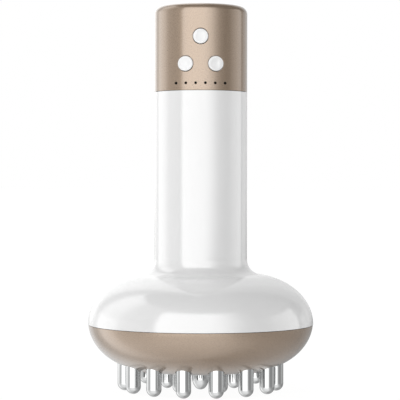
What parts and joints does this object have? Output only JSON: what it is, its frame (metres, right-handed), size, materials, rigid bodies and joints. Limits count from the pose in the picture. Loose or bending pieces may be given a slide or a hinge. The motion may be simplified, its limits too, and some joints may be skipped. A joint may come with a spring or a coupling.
{
  "type": "cellulite massager",
  "caption": "Hand-held body massager: round grip with push buttons and indicator dots, mushroom head, polished round-ended pins under it driven by a vibration motor.",
  "frame": {"origin": "centre of the head in the plane of the longest pin tips", "axes": "+Z along the grip from the pins to the cap, -Y out of the face with the buttons, +X to the right seen from the buttons"},
  "size_m": [0.1, 0.1, 0.17],
  "materials": {
    "white_shell": "glossy white",
    "champagne_shell": "metallic champagne lacquer, glossy",
    "button_white": "smooth white",
    "pin_chrome": "polished",
    "plate_aluminium": "turned",
    "fastener_steel": "zinc plated",
    "seal_rubber": "matte",
    "heater_film": "amber film",
    "sensor_epoxy": "matte",
    "lens_red": "clear red, smooth",
    "led_epoxy": "clear",
    "board_green": "solder mask",
    "bracket_nylon": "moulded",
    "clamp_steel": "pressed",
    "motor_steel": "drawn",
    "weight_steel": "sintered",
    "lead_wire": "soft insulation",
    "cradle_abs": "moulded",
    "cell_wrap": "shrink wrap",
    "tab_nickel": "strip",
    "socket_steel": "pressed",
    "chip_epoxy": "matte",
    "switch_body": "moulded",
    "plunger_plastic": "moulded",
    "light_pipe_smoke": "smoked, clear"
  },
  "bodies": {
    "housing": {"body_shell": "white_shell", "lower_shell": "champagne_shell", "cap": "champagne_shell", "head_seal": "seal_rubber", "cap_seal": "seal_rubber", "pin_plate": "plate_aluminium", "pins_outer": "pin_chrome", "pins_inner": "pin_chrome", "pin_centre": "pin_chrome", "pin_nuts": "fastener_steel", "plate_screws": "fastener_steel", "heater_ring": "heater_film", "temperature_sensor": "sensor_epoxy", "red_lenses": "lens_red", "red_leds": "led_epoxy", "lamp_boards": "board_green", "motor_bracket": "bracket_nylon", "motor_clamp": "clamp_steel", "motor_screws": "fastener_steel", "motor_can": "motor_steel", "motor_leads": "lead_wire", "battery_cradle": "cradle_abs", "battery_cell": "cell_wrap", "battery_tabs": "tab_nickel", "battery_leads": "lead_wire", "charging_board": "board_green", "charging_screws": "fastener_steel", "charging_socket": "socket_steel", "control_board": "board_green", "board_screws": "fastener_steel", "board_chip": "chip_epoxy", "tact_switches": "switch_body", "indicator_leds": "led_epoxy", "light_pipe": "light_pipe_smoke"},
    "rotor": {"motor_shaft": "fastener_steel", "motor_weight": "weight_steel"},
    "top_key": {"button_top": "button_white", "plunger_top": "plunger_plastic"},
    "left_key": {"button_left": "button_white", "plunger_left": "plunger_plastic"},
    "right_key": {"button_right": "button_white", "plunger_right": "plunger_plastic"}
  },
  "joints": [
    {"name": "motor_spin", "type": "hinge", "parent": "housing", "child": "rotor", "pos_m": [0, 0, 0.0349], "axis": [1, 0, 0], "continuous": true},
    {"name": "top_press", "type": "slide", "parent": "housing", "child": "top_key", "axis": [0, 1, 0], "range_m": [0, 0.0005], "stiffness_N_per_m": 300, "springref_m": -0.001},
    {"name": "left_press", "type": "slide", "parent": "housing", "child": "left_key", "axis": [0, 1, 0], "range_m": [0, 0.0005], "stiffness_N_per_m": 300, "springref_m": -0.001},
    {"name": "right_press", "type": "slide", "parent": "housing", "child": "right_key", "axis": [0, 1, 0], "range_m": [0, 0.0005], "stiffness_N_per_m": 300, "springref_m": -0.001}
  ]
}
